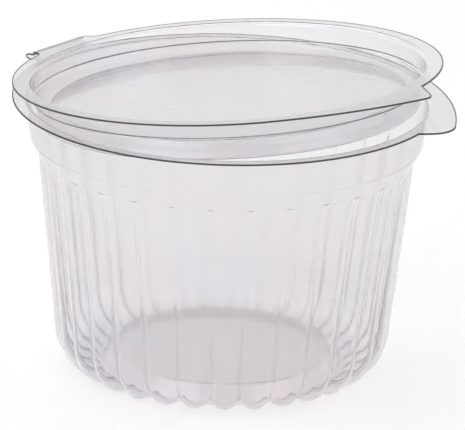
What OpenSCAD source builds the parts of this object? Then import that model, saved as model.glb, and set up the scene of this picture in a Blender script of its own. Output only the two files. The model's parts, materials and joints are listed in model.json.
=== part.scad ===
// Clear round food container with a hinged lid, thermoformed from one thin sheet.
// The tub stands on z = 0 with its axis on the Z axis. The hinge is on the -X side and
// the opening tabs are on the +X side. The lid is drawn ajar, as it rests by itself.

/* [Sheet] */
// Thickness of the plastic sheet
sheet = 0.5; // [0.4:0.05:0.6]

/* [Rim] */
// Radius of the flange round the tub and the lid
flange_r = 70; // [60:1:80]
// Width of the tub's flange, from its edge in to the neck
flange_w = 4.6; // [4:0.1:6]
// Radius of the rounded bend between a flange and the wall below it
bend_r = 1.2; // [0.8:0.1:1.6]

/* [Tub] */
// Height of the tub, from the feet to the top of the flange
tub_h = 91.5; // [70:0.5:110]
// Height of the smooth neck, with the flange
neck_h = 13; // [11:0.5:16]
// How far the neck narrows from top to bottom
neck_taper = 1.2; // [0.6:0.1:2]
// How far the shoulder steps in below the neck
shoulder_step = 2.8; // [2:0.1:4]
// Height of the sloping shoulder
shoulder_h = 5.6; // [4:0.1:8]
// How far the fluted wall narrows from the shoulder to the bottom corner
wall_taper = 6; // [3:0.5:9]
// Width of the rounded bottom corner
corner_w = 11.4; // [9:0.1:13]
// Height of the rounded bottom corner
corner_h = 13.9; // [10:0.1:16]
// Width of the strip inside the corner where the grooves run out
runout_w = 2.8; // [2:0.1:4]
// Width of the flat ring that the tub stands on
foot_w = 1.6; // [1:0.1:3]
// Height of the raised panel in the base
push_h = 4.8; // [2:0.1:7]
// Width of the slope up to the raised panel
push_slope_w = 3; // [1.5:0.1:5]

/* [Flutes] */
// Number of flutes round the wall
flutes = 30; // [24:1:32]
// Depth of the grooves below the shoulder
groove_top = 1.1; // [0.5:0.1:1.6]
// Depth of the grooves at the bottom corner
groove_low = 2.7; // [1.5:0.1:3]
// Height over which the flutes round off below the shoulder
groove_fade = 4.5; // [2:0.5:8]
// Direction of the first groove, in degrees from the +X axis
groove_angle = 4.4; // [0:0.1:12]
// Fullness of the flutes: a higher value makes them flatter, with narrower grooves
flute_power = 2.2; // [1.6:0.1:3]

/* [Lid] */
// Clearance all round between the lid's plug and the neck
plug_gap = 0.4; // [0.3:0.05:0.8]
// Depth of the ledge in the plug
ledge_depth = 5.8; // [4.5:0.1:7]
// Width of the ledge in the plug
ledge_w = 0.9; // [0.5:0.1:1.4]
// How far the plug narrows below its ledge
plug_taper = 0.9; // [0.5:0.1:1.6]
// Depth of the channel round the lid
channel_depth = 13.2; // [11:0.1:15]
// Width of the channel's floor
channel_w = 2; // [1.5:0.1:3]
// Width of the slope from the channel's floor up to the panel
panel_slope_w = 2.8; // [1.5:0.1:4]
// Depth of the lid's panel below its flange
panel_depth = 8.2; // [6:0.1:9.5]

/* [Tabs] */
// Direction where the steep side of the tub's tab meets the flange
tub_tab_start = 9.4; // [8:0.1:12]
// Angle from there to the corner of the tub's tab
tub_tab_lean = 8.2; // [7:0.1:11]
// Corner radius of the tub's tab
tub_tab_corner = 9; // [7:0.1:11]
// Angle that the tub's tab takes up on the flange
tub_tab_span = 60; // [54:1:66]
// Radius of the long edge of the tub's tab
tub_tab_edge_r = 98; // [92:1:110]
// Direction where the steep side of the lid's tab meets the flange
lid_tab_start = 11.1; // [9:0.1:12]
// Angle from there to the corner of the lid's tab
lid_tab_lean = 9; // [8:0.1:11]
// Corner radius of the lid's tab
lid_tab_corner = 4; // [3:0.1:6]
// Angle that the lid's tab takes up on the flange
lid_tab_span = 51; // [46:1:56]
// Radius of the long edge of the lid's tab
lid_tab_edge_r = 138; // [125:1:150]

/* [Hinge] */
// Length of the moulded hinge along its fold
hinge_len = 26; // [20:1:30]
// Radius of the hollow corners where the hinge's tongue leaves the flange
hinge_fillet = 4; // [2:0.5:5]
// Distance of the fold outside the flange's edge
fold_reach = 2.6; // [2:0.1:4]
// Height of the fold above the middle of the tub's flange
fold_rise = 2.5; // [2.2:0.1:3.2]
// How far the hinge's loop stands out past the fold
loop_out = 3; // [2.6:0.1:3.6]
// Length of the oval end of the loop
loop_bulge = 2; // [1.6:0.1:2.2]
// Clearance between the hinge's loop and the lid's fold
fold_gap = 0.3; // [0.2:0.05:0.4]
// Angle at which the lid rests ajar, from parallel to the tub's flange
ajar = 5.2; // [3:0.1:12]

/* [Hidden] */
clear_plastic = [0.86, 0.87, 0.88, 0.45];

neck_r = flange_r - flange_w;
neck_low_r = neck_r - neck_taper;
shoulder_r = neck_low_r - shoulder_step;
shoulder_z = tub_h - neck_h - shoulder_h;
wall_low_r = shoulder_r - wall_taper;
corner_in_r = wall_low_r - corner_w;
foot_out_r = corner_in_r - runout_w;
foot_in_r = foot_out_r - foot_w;
push_r = foot_in_r - push_slope_w;

plug_r = neck_r - sheet - plug_gap;
ledge_r = plug_r - neck_taper * ledge_depth / neck_h;
channel_out_r = ledge_r - ledge_w - plug_taper;
channel_in_r = channel_out_r - channel_w;
panel_r = channel_in_r - panel_slope_w;

fold_x = flange_r + fold_reach;
flange_mid_z = tub_h - sheet / 2;
fold_z = flange_mid_z + fold_rise;
loop_h = (fold_rise - fold_gap - sheet) / 2;   // half the height of the loop's middle line
seat_w = 2;                     // how far tabs and hinge run in over the flange
run_in = 0.1;                   // how far the outlines of tabs and hinge start inside its edge
lap = 0.8;                      // length of fluted wall let into the shoulder
lap_inset = sheet / 4;          // how far that lap sits inside the shoulder's skin
panel_rim = 3;                  // flat outer strip of the base's raised panel
corner_steps = 5;               // rings round the bottom corner
bend_steps = 5;                 // straight pieces in a rounded bend
across = [-1, -0.8, -0.45, 0, 0.45, 0.8];      // places across one flute, -1 is its groove

// Direction in the plane at an angle in degrees
function dir(a) = [cos(a), sin(a)];
// Angle of a vector in the plane
function angle_of(v) = atan2(v[1], v[0]);
// Points of an arc about c, from one angle to another
function arc(c, r, from, to, steps) =
    [for (i = [0 : steps]) c + r * dir(from + (to - from) * i / steps)];
function unit(a, b) = (b - a) / norm(b - a);
function reversed(p) = [for (i = [len(p) - 1 : -1 : 0]) p[i]];
// Right-hand normal of the path p at point i, mitred so that offset sheets keep their thickness
function mitre(p, i) =
    let (a = unit(p[max(i - 1, 0)], p[max(i, 1)]),
         b = unit(p[min(i, len(p) - 2)], p[min(i + 1, len(p) - 1)]),
         m = [a[1] + b[1], -a[0] - b[0]])
    2 * m / (m * m);
function offset_path(p, t) = [for (i = [0 : len(p) - 1]) p[i] + t * mitre(p, i)];
// Section of a sheet whose one face follows the path p
function sheet_section(p) = concat(p, reversed(offset_path(p, sheet)));

// Flange and rounded bend, from the flange's edge in to a wall of radius r below it
function flange_path(r, z) =
    concat([[flange_r, z]], arc([r + bend_r, z - bend_r], bend_r, 90, 180, bend_steps));

// Outer face of the tub's flange, neck and shoulder, read downwards as [radius, height]
neck_path = concat(flange_path(neck_r, tub_h - sheet),
                   [[neck_low_r, tub_h - neck_h], [shoulder_r, shoulder_z]]);

// Outer face of the fluted wall and base, read downwards
function wall_r(z) = wall_low_r + wall_taper * (z - corner_h) / (shoulder_z - corner_h);
lap_dir = unit([shoulder_r, shoulder_z], [neck_low_r, tub_h - neck_h]);
fade_steps = [0.12, 0.4, 1];
wall_path = concat(
    [[shoulder_r, shoulder_z] + lap * lap_dir - [lap_inset, 0], [shoulder_r - lap_inset, shoulder_z]],
    [for (f = fade_steps) let (z = shoulder_z - f * groove_fade) [wall_r(z), z]],
    [for (i = [0 : corner_steps]) let (a = 90 * i / corner_steps)
        [wall_low_r - corner_w * (1 - cos(a)), corner_h * (1 - sin(a))]],
    [[foot_out_r, 0], [foot_in_r, 0], [push_r, push_h], [push_r - panel_rim, push_h]]);
// Depth of the grooves at each point of that path
groove_depth = concat([0, 0], [for (f = fade_steps) groove_top * sqrt(f)],
                      [for (i = [0 : corner_steps]) groove_low], [0, 0, 0, 0]);

// The fluted wall and the base: an outer and an inner skin, joined at the top
module fluted_wall() {
    columns = flutes * len(across);
    rings = len(wall_path);
    skins = rings * columns;
    function point(i, k, s, t) =
        let (n = mitre(wall_path, i),
             q = wall_path[i] + t * n + groove_depth[i] * pow(abs(s), flute_power) * n / norm(n),
             a = groove_angle + 360 / flutes * (k + (s + 1) / 2))
        [q[0] * cos(a), q[0] * sin(a), q[1]];
    points = [for (t = [0, sheet], i = [0 : rings - 1], k = [0 : flutes - 1], s = across)
              point(i, k, s, t)];
    walls = [for (i = [0 : rings - 2], j = [0 : columns - 1])
             let (a = i * columns + j, b = i * columns + (j + 1) % columns, c = a + columns, d = b + columns)
             each [[a, b, d], [a, d, c],
                   [skins + a, skins + d, skins + b], [skins + a, skins + c, skins + d]]];
    lip = [for (j = [0 : columns - 1]) let (b = (j + 1) % columns)
           each [[j, skins + j, skins + b], [j, skins + b, b]]];
    last = skins - columns;
    floors = [[for (j = [0 : columns - 1]) last + j],
              [for (j = [columns - 1 : -1 : 0]) skins + last + j]];
    polyhedron(points = points, faces = concat(walls, lip, floors));
}

// Outline of a tab that starts steeply at angle a and runs out along a long edge
function tab_outline(a, lean, corner, span, edge_r) =
    let (root_r = flange_r - run_in,
         edge_c = -(edge_r - root_r) * dir(a + span),
         w = span - lean,
         k = -(edge_r - root_r) * cos(w)
             + sqrt(pow(edge_r - corner, 2) - pow((edge_r - root_r) * sin(w), 2)),
         corner_c = k * dir(a + lean),
         root = root_r * dir(a),
         steep = angle_of(corner_c - root) - asin(corner / norm(corner_c - root)),
         meet = angle_of(corner_c - edge_c))
    concat([(flange_r - seat_w) * dir(a), root],
           arc(corner_c, corner, steep - 90, meet, 8),
           arc(edge_c, edge_r, meet, a + span, 16),
           [(flange_r - seat_w) * dir(a + span)]);

// Flat tab, one sheet thick, joined to the outer part of a flange
module tab(a, lean, corner, span, edge_r) {
    linear_extrude(sheet)
        difference() {
            polygon(tab_outline(a, lean, corner, span, edge_r));
            circle(flange_r - seat_w, $fn = 180);
        }
}

// Flat tongue of the hinge, from the flange out to the fold, with a hollow corner on each side
module tongue() {
    side = hinge_len / 2 + hinge_fillet;
    hollow_c = [-sqrt(pow(flange_r - run_in + hinge_fillet, 2) - side * side), side];
    edge = concat(arc(hollow_c, hinge_fillet, angle_of(-hollow_c), -90, 8), [[-fold_x, hinge_len / 2]]);
    linear_extrude(sheet)
        difference() {
            polygon(concat([[0, 0]], edge, [for (q = reversed(edge)) [q[0], -q[1]]]));
            circle(flange_r - seat_w, $fn = 180);
        }
}

// Strip of sheet across the hinge, whose middle line is the path p in [distance out, height]
module hinge_strip(p) {
    rotate([90, 0, 180])
        linear_extrude(hinge_len, center = true)
            polygon(sheet_section(offset_path(p, -sheet / 2)));
}

// The tub: flange, neck and shoulder, fluted wall and base, tab, and the hinge's loop
module tub() {
    color(clear_plastic) {
        rotate_extrude($fn = 180) polygon(sheet_section(neck_path));
        fluted_wall();
        translate([0, 0, tub_h - sheet])
            tab(tub_tab_start, tub_tab_lean, tub_tab_corner, tub_tab_span, tub_tab_edge_r);
        translate([0, 0, tub_h - sheet]) tongue();
        loop_c = [fold_x + loop_out - loop_bulge, flange_mid_z + loop_h];
        oval = [for (p = arc([0, 0], 1, -90, 90, 12)) loop_c + [loop_bulge * p[0], loop_h * p[1]]];
        hinge_strip(concat([[flange_r - seat_w, flange_mid_z]], oval,
                           [[fold_x, flange_mid_z + 2 * loop_h]]));
    }
}

// Underside of the lid, from its edge down the plug and up to the panel, as [radius, height]
lid_path = concat(
    flange_path(plug_r, 0),
    [[ledge_r, -ledge_depth], [ledge_r - ledge_w, -ledge_depth]],
    arc([channel_out_r - bend_r, bend_r - channel_depth], bend_r, 0, -90, bend_steps),
    [[channel_in_r, -channel_depth], [panel_r, -panel_depth], [0, -panel_depth]]);

// The lid as it lies when it is parallel to the tub's flange
module flat_lid() {
    translate([0, 0, fold_z - sheet / 2]) {
        rotate_extrude($fn = 180) polygon(sheet_section(lid_path));
        mirror([0, 1, 0])
            tab(-lid_tab_start, lid_tab_lean, lid_tab_corner, lid_tab_span, lid_tab_edge_r);
        tongue();
    }
    translate([-fold_x, 0, fold_z])
        rotate([90, 0, 0]) cylinder(h = hinge_len, r = sheet / 2, center = true, $fn = 32);
}

// The lid, turned up about its fold to where it rests
module lid() {
    color(clear_plastic)
        translate([-fold_x, 0, fold_z])
            rotate([0, -ajar, 0])
                translate([fold_x, 0, -fold_z])
                    flat_lid();
}

tub();
lid();
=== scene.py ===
"""Clear round food container with a hinged lid that rests ajar: its looks around the frame.

The tub and the lid are each one thin sheet. A skin is spun from a section, its flutes are
pressed in, its flange is filled out to its outline, and then it gets the sheet's thickness.
Sizes are in millimetres, and each finished sheet is scaled to metres.
"""

import json
import math

import bmesh
import bpy
from mathutils import Matrix, Vector


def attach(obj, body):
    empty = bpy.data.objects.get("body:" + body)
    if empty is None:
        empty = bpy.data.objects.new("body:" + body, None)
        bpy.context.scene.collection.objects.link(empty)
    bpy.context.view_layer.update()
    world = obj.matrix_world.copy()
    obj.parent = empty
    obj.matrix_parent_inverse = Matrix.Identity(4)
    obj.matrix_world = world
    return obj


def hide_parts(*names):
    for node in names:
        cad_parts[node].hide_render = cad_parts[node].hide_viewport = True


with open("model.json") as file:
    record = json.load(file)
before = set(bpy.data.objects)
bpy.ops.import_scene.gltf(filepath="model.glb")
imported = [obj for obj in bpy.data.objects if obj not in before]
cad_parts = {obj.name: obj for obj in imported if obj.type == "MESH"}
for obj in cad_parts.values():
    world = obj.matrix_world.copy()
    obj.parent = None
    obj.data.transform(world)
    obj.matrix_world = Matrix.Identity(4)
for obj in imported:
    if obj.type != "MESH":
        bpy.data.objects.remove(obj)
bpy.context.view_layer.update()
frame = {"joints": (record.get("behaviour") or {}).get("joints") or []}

MM = 0.001
JOINT = frame["joints"][0]
FOLD = Vector(JOINT["pos_m"]) / MM  # middle of the living hinge's fold

# The sheet and the rim
SHEET = 0.5
SHADE_STRIP_W = 0.35  # width of the strip along the cut that is painted dark grey like the cut edge, as painted shade
FLANGE_R = 70.0
FLANGE_W = 4.6
BEND_R = 1.2
AJAR = 5.2  # how far the lid stands open, in degrees
FOLD_RISE = 2.5  # the fold above the middle of the tub's flange
UNDER_FLANGE = FOLD.z - FOLD_RISE - SHEET / 2
TUB_H = UNDER_FLANGE + SHEET

# The tub, from its neck down
NECK_H = 13.0
NECK_TAPER = 1.2
SHOULDER_STEP = 2.8
SHOULDER_H = 5.6
WALL_TAPER = 6.0
CORNER_W = 11.4
CORNER_H = 13.9
RUNOUT_W = 2.8
FOOT_W = 1.6
PUSH_H = 4.8
PUSH_SLOPE_W = 3.0
STEP_FILLET = 1.2
FOOT_FILLET = 0.7
PUSH_FILLET = 1.2
NECK_R = FLANGE_R - FLANGE_W
NECK_LOW_R = NECK_R - NECK_TAPER
SHOULDER_R = NECK_LOW_R - SHOULDER_STEP
SHOULDER_Z = TUB_H - NECK_H - SHOULDER_H
WALL_LOW_R = SHOULDER_R - WALL_TAPER
CORNER_IN_R = WALL_LOW_R - CORNER_W
FOOT_OUT_R = CORNER_IN_R - RUNOUT_W
FOOT_IN_R = FOOT_OUT_R - FOOT_W
PUSH_R = FOOT_IN_R - PUSH_SLOPE_W

# The flutes
FLUTES = 30
FLUTE = 360 / FLUTES
GROOVE_ANGLE = 4.4
GROOVE_TOP = 1.1
GROOVE_LOW = 2.7
GROOVE_FADE = 4.5
FLUTE_POWER = 2.2
GROOVE_ROUND = 0.2  # how far the bottom of a groove is rounded, as a share of its depth

# The lid, from its flange down
PLUG_GAP = 0.4
LEDGE_DEPTH = 5.8
LEDGE_W = 0.9
PLUG_TAPER = 0.9
CHANNEL_DEPTH = 13.2
CHANNEL_W = 2.0
PANEL_SLOPE_W = 2.8
PANEL_DEPTH = 8.2
LEDGE_FILLET = 0.4
CHANNEL_FILLET = 0.8
PANEL_FILLET = 1.0
PLUG_R = NECK_R - SHEET - PLUG_GAP
LEDGE_R = PLUG_R - NECK_TAPER * LEDGE_DEPTH / NECK_H
CHANNEL_OUT_R = LEDGE_R - LEDGE_W - PLUG_TAPER
CHANNEL_IN_R = CHANNEL_OUT_R - CHANNEL_W
PANEL_R = CHANNEL_IN_R - PANEL_SLOPE_W
UNDER_LID = FOLD.z - SHEET / 2

# The tabs and the hinge
ROOT_R = FLANGE_R - 0.1  # the tabs' outlines start just inside the flange's edge
TUB_TAB = {"start": 9.4, "lean": 8.2, "corner": 9.0, "span": 60.0, "edge_r": 98.0}
LID_TAB = {"start": -11.1, "lean": 9.0, "corner": 4.0, "span": 51.0, "edge_r": 138.0}
HINGE_LEN = 26.0
HINGE_FILLET = 4.0
LOOP_OUT = 3.0
LOOP_BULGE = 2.0
FOLD_GAP = 0.3
LOOP_H = (FOLD_RISE - FOLD_GAP - SHEET) / 2 + SHEET / 2  # half the height of its outer face
LOOP_X = FOLD.x - LOOP_OUT + LOOP_BULGE

# How finely the round stretches are divided
COLUMNS_PER_FLUTE = 20
LID_COLUMNS = 480
FLANGE_STEPS = 150  # from a tab to the hinge
LONG_EDGE_STEPS = 24
TAB_CORNER_STEPS = 12
HOLLOW_STEPS = 10
BEND_STEPS = 8
LOOP_STEPS = 16
WALL_ROWS = 14
CORNER_ROWS = 12
RUNOUT_ROWS = 4
FILLET_STEP = 11  # degrees
FLAT_RIM = 6  # width of the outermost ring of a flat panel


def direction(degrees):
    return Vector((math.cos(math.radians(degrees)), math.sin(math.radians(degrees))))


def angle_of(v):
    return math.degrees(math.atan2(v.y, v.x))


def arc(centre, radius, start, end, steps):
    """Points of an arc about centre, from one angle to another in degrees."""
    turn = (end - start) / steps
    return [centre + radius * direction(start + turn * i) for i in range(steps + 1)]


def rounded(corners):
    """Path through (x, y, fillet) corners, with an arc of that radius at each."""
    path = []
    for i, (x, y, fillet) in enumerate(corners):
        here = Vector((x, y))
        if not fillet:
            path.append(here)
            continue
        back = (Vector(corners[i - 1][:2]) - here).normalized()
        on = (Vector(corners[i + 1][:2]) - here).normalized()
        half = back.angle(on) / 2
        centre = here + (back + on).normalized() * fillet / math.sin(half)
        start = here + back * fillet / math.tan(half) - centre
        end = here + on * fillet / math.tan(half) - centre
        turn = math.pi - 2 * half
        steps = max(2, round(math.degrees(turn) / FILLET_STEP))
        for k in range(steps + 1):
            a = turn * k / steps
            path.append(centre + (start * math.sin(turn - a) + end * math.sin(a)) / math.sin(turn))
    return path


def inward(path, i):
    """Unit normal of a path at point i, towards the inside of the tub or lid."""
    back = (path[i] - path[max(i - 1, 0)]).normalized()
    on = (path[min(i + 1, len(path) - 1)] - path[i]).normalized()
    along = (back + on).normalized()
    return Vector((along.y, -along.x))


def tab_outline(start, lean, corner, span, edge_r):
    """Outline of a tab, from the foot of its steep side to where its long edge runs out."""
    edge_c = -(edge_r - ROOT_R) * direction(start + span)
    width = math.radians(span - lean)
    reach = math.sqrt((edge_r - corner) ** 2 - ((edge_r - ROOT_R) * math.sin(width)) ** 2)
    corner_c = (reach - (edge_r - ROOT_R) * math.cos(width)) * direction(start + lean)
    root = ROOT_R * direction(start)
    steep = angle_of(corner_c - root) - math.degrees(math.asin(corner / (corner_c - root).length))
    meet = angle_of(corner_c - edge_c)
    return ([root] + arc(corner_c, corner, steep - 90, meet, TAB_CORNER_STEPS)
            + arc(edge_c, edge_r, meet, start + span, LONG_EDGE_STEPS)[1:])


def mirrored(path):
    """The path on the other side of the X axis, read backwards."""
    return [Vector((p.x, -p.y)) for p in reversed(path)]


def flange_outline(tab, tongue_x):
    """Closed outline of a flange: its tab, its round edge and the hinge's tongue out to tongue_x."""
    centre = Vector((0, 0))
    side = HINGE_LEN / 2 + HINGE_FILLET
    hollow_c = Vector((-math.sqrt((FLANGE_R + HINGE_FILLET) ** 2 - side ** 2), side))
    hollow = arc(hollow_c, HINGE_FILLET, angle_of(-hollow_c), -90, HOLLOW_STEPS)
    tongue = hollow + [Vector((tongue_x, HINGE_LEN / 2))]
    root = angle_of(hollow_c)
    first, last = angle_of(tab[0]), angle_of(tab[-1])
    return (tab + arc(centre, FLANGE_R, last, root, FLANGE_STEPS)[1:-1] + tongue + mirrored(tongue)
            + arc(centre, FLANGE_R, 360 - root, 360 + first, FLANGE_STEPS)[1:-1])


def spun_skin(path, columns, start_angle, depths=None):
    """A skin spun from its section about the Z axis. The layers keep each ring's groove."""
    bm = bmesh.new()
    depth = bm.verts.layers.float.new("depth")
    inside = bm.verts.layers.float_vector.new("inside")
    ring = []
    for i, p in enumerate(path):
        v = bm.verts.new((p.x, 0, p.y))
        n = inward(path, i)
        v[inside] = (n.x, 0, n.y)
        v[depth] = depths[i] if depths else 0
        ring.append(v)
    section = ring + [bm.edges.new(pair) for pair in zip(ring, ring[1:])]
    bmesh.ops.rotate(bm, verts=ring, matrix=Matrix.Rotation(math.radians(start_angle), 3, "Z"))
    bmesh.ops.spin(bm, geom=section, axis=(0, 0, 1), cent=(0, 0, 0), angle=2 * math.pi,
                   steps=columns, use_merge=True)
    bmesh.ops.remove_doubles(bm, verts=bm.verts, dist=1e-4)
    return bm


def pressed_share(across):
    """Share of a groove's depth at a place across a flute, from 0 in its middle to 1 in the groove."""
    rise = math.hypot(1 - abs(across) ** FLUTE_POWER, GROOVE_ROUND) - GROOVE_ROUND
    return 1 - rise / (math.hypot(1, GROOVE_ROUND) - GROOVE_ROUND)


def press_flutes(bm):
    """Draws the columns of a skin towards the grooves and presses the grooves in."""
    depth = bm.verts.layers.float["depth"]
    inside = bm.verts.layers.float_vector["inside"]
    for v in bm.verts:
        r = math.hypot(v.co.x, v.co.y)
        if r < 1e-6:
            continue
        turn = (math.degrees(math.atan2(v.co.y, v.co.x)) - GROOVE_ANGLE) / FLUTE
        flute = round(turn * COLUMNS_PER_FLUTE) // COLUMNS_PER_FLUTE
        across = math.sin((2 * (turn - flute) - 1) * math.pi / 2)
        out = direction(GROOVE_ANGLE + FLUTE * (flute + (across + 1) / 2))
        pressed = v[depth] * pressed_share(across)
        r += v[inside].x * pressed
        v.co = (r * out.x, r * out.y, v.co.z + v[inside].z * pressed)


def tongue_end(bm, x):
    """The straight edge at the end of the hinge's tongue."""
    return [e for e in bm.edges if e.is_boundary and all(abs(v.co.x - x) < 1e-4 for v in e.verts)]


def fill_flange(bm, outline, height, joined):
    """Fills the flat flange between the skin's open edge and its outline, with a strip of painted
    shade along its cut. The end of the tongue, at x = joined, isn't cut."""
    inner = [e for e in bm.edges if e.is_boundary]
    ring = [bm.verts.new((p.x, p.y, height)) for p in outline]
    outer = [bm.edges.new((a, b)) for a, b in zip(ring, ring[1:] + ring[:1])]
    filled = bmesh.ops.triangle_fill(bm, edges=inner + outer, use_beauty=True, normal=(0, 0, 1))["geom"]
    flat = [f for f in filled if isinstance(f, bmesh.types.BMFace)]
    strips = bmesh.ops.inset_region(bm, faces=flat, thickness=SHADE_STRIP_W, use_boundary=True,
                                    use_even_offset=True)["faces"]
    end = tongue_end(bm, joined)
    # The strip along the cut gets the dark grey edge material: painted shade
    for f in strips:
        if any(e.is_boundary and e not in end for e in f.edges):
            f.material_index = 1


def close_sheet(name, bm):
    """Gives a skin the sheet's thickness on its inner side, in metres, with its cut edges sharp."""
    bmesh.ops.recalc_face_normals(bm, faces=bm.faces)
    lowest = min(bm.faces, key=lambda f: f.calc_center_median().xy.length)
    if lowest.normal.z > 0:
        bmesh.ops.reverse_faces(bm, faces=bm.faces)
    mesh = bpy.data.meshes.new(name)
    bm.to_mesh(mesh)
    bm.free()
    piece = bpy.data.objects.new(name, mesh)
    bpy.context.scene.collection.objects.link(piece)
    mesh.materials.append(clear_sheet)
    # The second material, on the cut edges and the strips along them, is dark grey painted shade
    mesh.materials.append(edge_shade_paint)
    wall = piece.modifiers.new("thickness", "SOLIDIFY")
    wall.thickness = SHEET
    wall.offset = -1
    wall.use_even_offset = True
    wall.use_quality_normals = True
    wall.material_offset_rim = 1
    closed = bpy.data.meshes.new_from_object(piece.evaluated_get(bpy.context.evaluated_depsgraph_get()))
    piece.modifiers.clear()
    piece.data = closed
    closed.name = name
    bm = bmesh.new()
    bm.from_mesh(closed)
    for f in bm.faces:
        middle = f.calc_center_median()
        if (middle - FOLD).xz.length < 2 * SHEET and abs(middle.y) < HINGE_LEN / 2 - 0.01:
            f.material_index = 0  # the sheet runs on through the fold
    bmesh.ops.scale(bm, verts=bm.verts, vec=(MM, MM, MM))
    for f in bm.faces:
        f.smooth = True
    for e in bm.edges:
        e.smooth = len({f.material_index for f in e.link_faces}) < 2
    bm.to_mesh(closed)
    bm.free()
    return piece


def groove_depth(p):
    """Depth of the grooves where the section passes through p, as [radius, height]."""
    if p.y > SHOULDER_Z:
        return 0
    if p.y >= CORNER_H:
        low = (SHOULDER_Z - p.y) / (SHOULDER_Z - CORNER_H)
        fade = math.sqrt(min(1, (SHOULDER_Z - p.y) / GROOVE_FADE))
        return (GROOVE_TOP + (GROOVE_LOW - GROOVE_TOP) * low) * fade
    if p.x >= CORNER_IN_R:
        return GROOVE_LOW
    return GROOVE_LOW * max(0, (p.x - FOOT_OUT_R) / RUNOUT_W)


def make_tub():
    """The tub: flange, neck, shoulder, fluted wall, rounded corner, foot ring and raised base."""
    top = rounded([(NECK_R + BEND_R, UNDER_FLANGE, 0),
                   (NECK_R, UNDER_FLANGE - BEND_R, 0),
                   (NECK_LOW_R, TUB_H - NECK_H, STEP_FILLET),
                   (SHOULDER_R, SHOULDER_Z, STEP_FILLET),
                   (WALL_LOW_R, CORNER_H, 0)])
    bend = arc(Vector((NECK_R + BEND_R, UNDER_FLANGE - BEND_R)), BEND_R, 90, 180, BEND_STEPS)
    # The rows of the wall lie closest at its top, where the grooves fade in
    wall = [top[-2].lerp(top[-1], (k / WALL_ROWS) ** 1.5) for k in range(1, WALL_ROWS + 1)]
    corner = [Vector((WALL_LOW_R - CORNER_W * (1 - math.cos(a)), CORNER_H * (1 - math.sin(a))))
              for a in (math.pi / 2 * k / CORNER_ROWS for k in range(1, CORNER_ROWS + 1))]
    runout = [Vector((CORNER_IN_R - RUNOUT_W * k / RUNOUT_ROWS, 0)) for k in range(1, RUNOUT_ROWS)]
    base = rounded([(FOOT_OUT_R, 0, 0), (FOOT_IN_R, 0, FOOT_FILLET), (PUSH_R, PUSH_H, PUSH_FILLET),
                    (PUSH_R - FLAT_RIM, PUSH_H, 0), (0, PUSH_H, 0)])
    path = bend + top[2:-1] + wall + corner + runout + base
    bm = spun_skin(path, FLUTES * COLUMNS_PER_FLUTE, GROOVE_ANGLE, [groove_depth(p) for p in path])
    press_flutes(bm)
    fill_flange(bm, flange_outline(tab_outline(**TUB_TAB), LOOP_X), UNDER_FLANGE, LOOP_X)
    end = tongue_end(bm, LOOP_X)
    turned = bmesh.ops.spin(bm, geom=end + list(end[0].verts), axis=(0, 1, 0),
                            cent=(LOOP_X, 0, UNDER_FLANGE + LOOP_H), angle=math.pi, steps=LOOP_STEPS)
    last = [g for g in turned["geom_last"] if isinstance(g, bmesh.types.BMEdge)]
    for v in bm.verts:
        if v.co.x < LOOP_X:
            v.co.x = LOOP_X + (v.co.x - LOOP_X) * (LOOP_BULGE + SHEET / 2) / LOOP_H
    lip = bmesh.ops.extrude_edge_only(bm, edges=last)["geom"]
    for v in (g for g in lip if isinstance(g, bmesh.types.BMVert)):
        v.co.x = FOLD.x
    return close_sheet("tub_shell", bm)


def make_lid():
    """The lid: flange, plug with its ledge, channel and sunk panel, turned up about the fold."""
    path = rounded([(PLUG_R + BEND_R, 0, 0), (PLUG_R, -BEND_R, 0),
                    (LEDGE_R, -LEDGE_DEPTH, LEDGE_FILLET),
                    (LEDGE_R - LEDGE_W, -LEDGE_DEPTH, LEDGE_FILLET),
                    (CHANNEL_OUT_R, -CHANNEL_DEPTH, BEND_R),
                    (CHANNEL_IN_R, -CHANNEL_DEPTH, CHANNEL_FILLET),
                    (PANEL_R, -PANEL_DEPTH, PANEL_FILLET),
                    (PANEL_R - FLAT_RIM, -PANEL_DEPTH, 0), (0, -PANEL_DEPTH, 0)])
    bend = arc(Vector((PLUG_R + BEND_R, -BEND_R)), BEND_R, 90, 180, BEND_STEPS)
    path = [p + Vector((0, UNDER_LID)) for p in bend + path[2:]]
    bm = spun_skin(path, LID_COLUMNS, 0)
    fill_flange(bm, flange_outline(mirrored(tab_outline(**LID_TAB)), FOLD.x), UNDER_LID, FOLD.x)
    bmesh.ops.rotate(bm, verts=bm.verts, cent=FOLD, matrix=Matrix.Rotation(math.radians(-AJAR), 3, "Y"))
    return close_sheet("lid_shell", bm)


def linear(hex_colour):
    """Linear colour from an sRGB hex value."""
    parts = [int(hex_colour[i:i + 2], 16) / 255 for i in (1, 3, 5)]
    return [c / 12.92 if c <= 0.04045 else ((c + 0.055) / 1.055) ** 2.4 for c in parts] + [1]


def add(tree, kind, values=None, links=None, **settings):
    """Adds a node with its settings, its input values and the sockets that feed it."""
    node = tree.nodes.new(kind)
    for name, value in settings.items():
        setattr(node, name, value)
    for name, value in (values or {}).items():
        node.inputs[name].default_value = value
    for name, socket in (links or {}).items():
        tree.links.new(socket, node.inputs[name])
    return node


def new_material(name):
    mat = bpy.data.materials.new(name)
    mat.use_nodes = True
    mat.node_tree.nodes.clear()
    return mat, mat.node_tree


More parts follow.
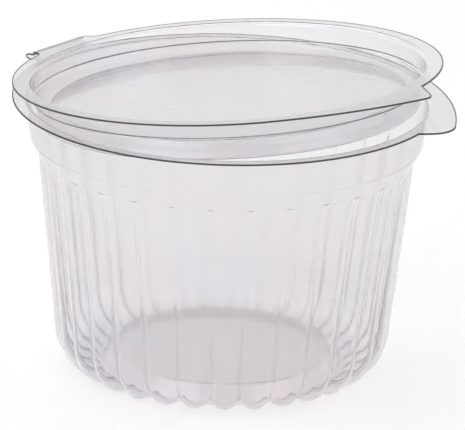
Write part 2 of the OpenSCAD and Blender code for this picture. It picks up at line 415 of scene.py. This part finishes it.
def thermoformed_pet():
    """Clear PET sheet, drawn into its mould: glossy on both faces and a little grey in the mass,
    with faint patches of lilac and pink, and faint upright ripples from the draw."""
    mat, tree = new_material("thermoformed_pet_sheet")
    place = add(tree, "ShaderNodeTexCoord").outputs["Object"]
    rays = add(tree, "ShaderNodeLightPath").outputs
    # Patches of tint about 30 mm across
    patches = add(tree, "ShaderNodeTexNoise", {"Scale": 33, "Detail": 2}, {"Vector": place}).outputs["Fac"]
    uneven = add(tree, "ShaderNodeMapRange", {"From Min": 0.35, "From Max": 0.65},
                 {"Value": patches}).outputs[0]
    tint = add(tree, "ShaderNodeMix", {6: linear("#F0F0F2"), 7: linear("#F2EFF0")}, {0: uneven},
               data_type="RGBA").outputs[2]
    # Ripples 3 mm wide and 60 mm long
    drawn = add(tree, "ShaderNodeMapping", {"Scale": (330, 330, 16)}, {"Vector": place})
    ripples = add(tree, "ShaderNodeTexNoise", {"Scale": 1, "Detail": 3}, {"Vector": drawn.outputs[0]})
    ripple = add(tree, "ShaderNodeBump", {"Strength": 0.3, "Distance": 0.0001},
                 {"Height": ripples.outputs["Fac"]}).outputs[0]
    glass = add(tree, "ShaderNodeBsdfPrincipled",
                {"Roughness": 0.08, "IOR": 1.575, "Transmission Weight": 1.0},
                {"Base Color": tint, "Normal": ripple}).outputs[0]
    clear = add(tree, "ShaderNodeBsdfTransparent", {"Color": linear("#FEFDFE")}).outputs[0]
    sheet = add(tree, "ShaderNodeMixShader", links={0: rays["Is Shadow Ray"], 1: glass, 2: clear}).outputs[0]
    add(tree, "ShaderNodeOutputMaterial", links={"Surface": sheet})
    return mat


def painted_edge_material():
    """Cut edge of the sheet: rough from the knife, and painted dark grey: painted shade for the light
    that enters the clear edge and is led away inside the sheet."""
    mat, tree = new_material("pet_edge_painted_shade")
    add(tree, "ShaderNodeOutputMaterial", links={"Surface": add(
        tree, "ShaderNodeBsdfPrincipled",
        {"Base Color": linear("#3C3A3C"), "Roughness": 0.4, "IOR": 1.575}).outputs[0]})
    return mat


clear_sheet = thermoformed_pet()
# The cut edge's dark grey is painted shade, not the plastic's own colour
edge_shade_paint = painted_edge_material()

tub = make_tub()
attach(tub, "tub")
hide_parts("tub")
lid = make_lid()
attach(lid, "lid")
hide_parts("lid")


# The studio: a white floor and surround, soft light from above and two softboxes
WHITE = linear("#FFFFFF")
FLOOR_R = 4  # metres


def seen_white(tree, lit, plain):
    """The shader plain for what the eye sees, straight or by a gloss or glass, and lit for light."""
    rays = add(tree, "ShaderNodeLightPath").outputs
    near = add(tree, "ShaderNodeMath", links={0: rays["Is Camera Ray"], 1: rays["Is Glossy Ray"]},
               operation="MAXIMUM").outputs[0]
    seen = add(tree, "ShaderNodeMath", links={0: near, 1: rays["Is Transmission Ray"]},
               operation="MAXIMUM").outputs[0]
    return add(tree, "ShaderNodeMixShader", links={0: seen, 1: lit, 2: plain}).outputs[0]


def make_world():
    """The white surround, which greys towards the ceiling where the plastic mirrors it."""
    world = bpy.data.worlds.new("white_surround")
    world.use_nodes = True
    tree = world.node_tree
    tree.nodes.clear()
    lit = add(tree, "ShaderNodeBackground", {"Color": WHITE, "Strength": 0.6}).outputs[0]
    # White up to 6 degrees above the table, and light grey from 25 degrees up
    toward = add(tree, "ShaderNodeTexCoord").outputs["Generated"]
    height = add(tree, "ShaderNodeSeparateXYZ", links={"Vector": toward}).outputs["Z"]
    level = add(tree, "ShaderNodeMapRange",
                {"From Min": 0.1, "From Max": 0.42, "To Min": 1, "To Max": 0.5},
                {"Value": height}).outputs[0]
    plain = add(tree, "ShaderNodeBackground", {"Color": WHITE}, {"Strength": level}).outputs[0]
    add(tree, "ShaderNodeOutputWorld", links={"Surface": seen_white(tree, lit, plain)})
    bpy.context.scene.world = world


def make_floor():
    """A white card, lifted a little by its own light so that it shows pure white."""
    mat, tree = new_material("white_card")
    card = add(tree, "ShaderNodeBsdfDiffuse", {"Color": linear("#F2F2F2")}).outputs[0]
    glow = add(tree, "ShaderNodeEmission", {"Color": WHITE, "Strength": 0.19}).outputs[0]
    lifted = add(tree, "ShaderNodeAddShader", links={0: card, 1: glow}).outputs[0]
    add(tree, "ShaderNodeOutputMaterial", links={"Surface": seen_white(tree, card, lifted)})
    bm = bmesh.new()
    bmesh.ops.create_circle(bm, cap_ends=True, radius=FLOOR_R, segments=96)
    mesh = bpy.data.meshes.new("floor")
    bm.to_mesh(mesh)
    bm.free()
    mesh.materials.append(mat)
    floor = bpy.data.objects.new("floor", mesh)
    bpy.context.scene.collection.objects.link(floor)


def softbox(name, azimuth, elevation, distance, size, radiance):
    """A square area lamp that looks at the container. Its power follows from its radiance."""
    lamp = bpy.data.lights.new(name, "AREA")
    lamp.shape = "SQUARE"
    lamp.size = size
    lamp.energy = radiance * math.pi * size ** 2
    light = bpy.data.objects.new(name, lamp)
    across = direction(azimuth) * math.cos(math.radians(elevation))
    out = Vector((across.x, across.y, math.sin(math.radians(elevation))))
    light.location = out * distance
    light.rotation_euler = out.to_track_quat("Z", "Y").to_euler()
    bpy.context.scene.collection.objects.link(light)


# The camera: where it stands from the middle of the rim, and where the rim lies in the picture
PICTURE_W, PICTURE_H = 465, 430
FOCAL_PX = 4613
RIM_PX = (227.6, 96.9)
VIEW_AZIMUTH = 38.5
VIEW_ELEVATION = 17.67
VIEW_ROLL = 1.5
VIEW_DISTANCE = 1.5
SENSOR_W = 36


def make_camera():
    """The camera that was fitted to the photo by the rim's ellipse."""
    rim = Vector((0, 0, (UNDER_FLANGE + SHEET / 2) * MM))
    flat = direction(VIEW_AZIMUTH - 90) * math.cos(math.radians(VIEW_ELEVATION))
    out = Vector((flat.x, flat.y, math.sin(math.radians(VIEW_ELEVATION))))
    right = Vector((0, 0, 1)).cross(out).normalized()
    up = out.cross(right)
    roll = Matrix.Rotation(math.radians(VIEW_ROLL), 3, out)
    right, up = roll @ right, roll @ up
    eye = rim + out * VIEW_DISTANCE
    pixel = VIEW_DISTANCE / FOCAL_PX
    aim = rim + right * (PICTURE_W / 2 - RIM_PX[0]) * pixel - up * (PICTURE_H / 2 - RIM_PX[1]) * pixel
    back = (eye - aim).normalized()
    side = up.cross(back).normalized()
    lens = bpy.data.cameras.new("camera")
    lens.sensor_fit = "HORIZONTAL"
    lens.sensor_width = SENSOR_W
    lens.lens = FOCAL_PX * SENSOR_W / PICTURE_W
    camera = bpy.data.objects.new("camera", lens)
    turn = Matrix((side, back.cross(side), back)).transposed()
    camera.matrix_world = Matrix.Translation(eye) @ turn.to_4x4()
    bpy.context.scene.collection.objects.link(camera)
    bpy.context.scene.camera = camera


make_world()
make_floor()
softbox("key_softbox", VIEW_AZIMUTH - 90 - 50, elevation=50, distance=1.2, size=0.8, radiance=1.7)
softbox("fill_softbox", VIEW_AZIMUTH - 90 + 60, elevation=40, distance=1.2, size=0.7, radiance=1.1)
softbox("back_softbox", VIEW_AZIMUTH + 90 + 20, elevation=50, distance=1.2, size=0.8, radiance=1.15)
make_camera()

scene = bpy.context.scene
scene.view_settings.view_transform = "Standard"
scene.cycles.max_bounces = 32
scene.cycles.transmission_bounces = 32
scene.cycles.glossy_bounces = 8
scene.cycles.transparent_max_bounces = 48
